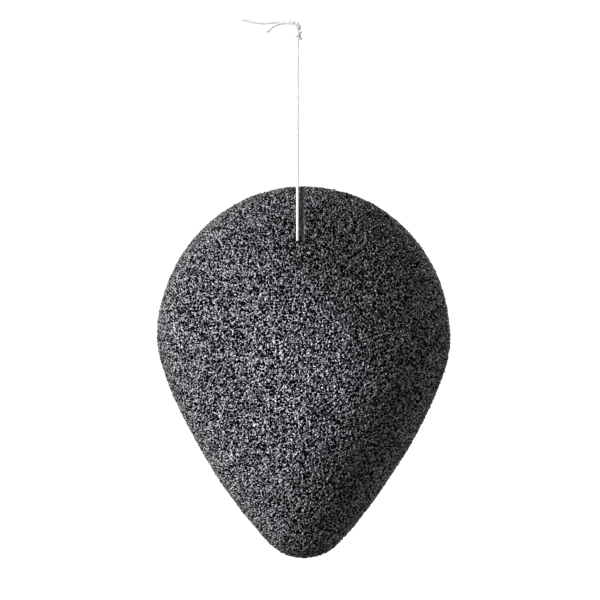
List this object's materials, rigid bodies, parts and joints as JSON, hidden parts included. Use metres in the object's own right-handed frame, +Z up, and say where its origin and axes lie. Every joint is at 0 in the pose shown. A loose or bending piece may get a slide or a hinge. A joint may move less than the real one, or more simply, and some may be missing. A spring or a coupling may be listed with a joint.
{
  "type": "konjac sponge",
  "caption": "Teardrop foam sponge, domed in front and flatter behind, hung by a thin cotton cord that passes through a hole near its round end and is knotted into a loop.",
  "frame": {"origin": "inside the top of the cord loop, at the underside of the knot, where a hook carries it", "axes": "+Z up along the hanging cord, -Y towards the domed front, +X to the right as seen from the front"},
  "size_m": [0.0709, 0.0257, 0.1307],
  "materials": {
    "konjac_foam": "open-pored charcoal plant-fibre foam, matte in its pits with a damp glint on its struts",
    "cotton_cord": "matte white twisted cotton"
  },
  "bodies": {
    "cord": {"cord_through_sponge": "cotton_cord", "front_strand": "cotton_cord", "back_strand": "cotton_cord", "knot": "cotton_cord", "long_tail": "cotton_cord", "short_tail": "cotton_cord"},
    "sponge": {"sponge_body": "konjac_foam"}
  },
  "joints": [
    {"name": "sponge_swing", "type": "hinge", "parent": "cord", "child": "sponge", "pos_m": [0, 0, -0.0486], "axis": [0, 1, 0], "range_deg": [-60, 60]}
  ]
}
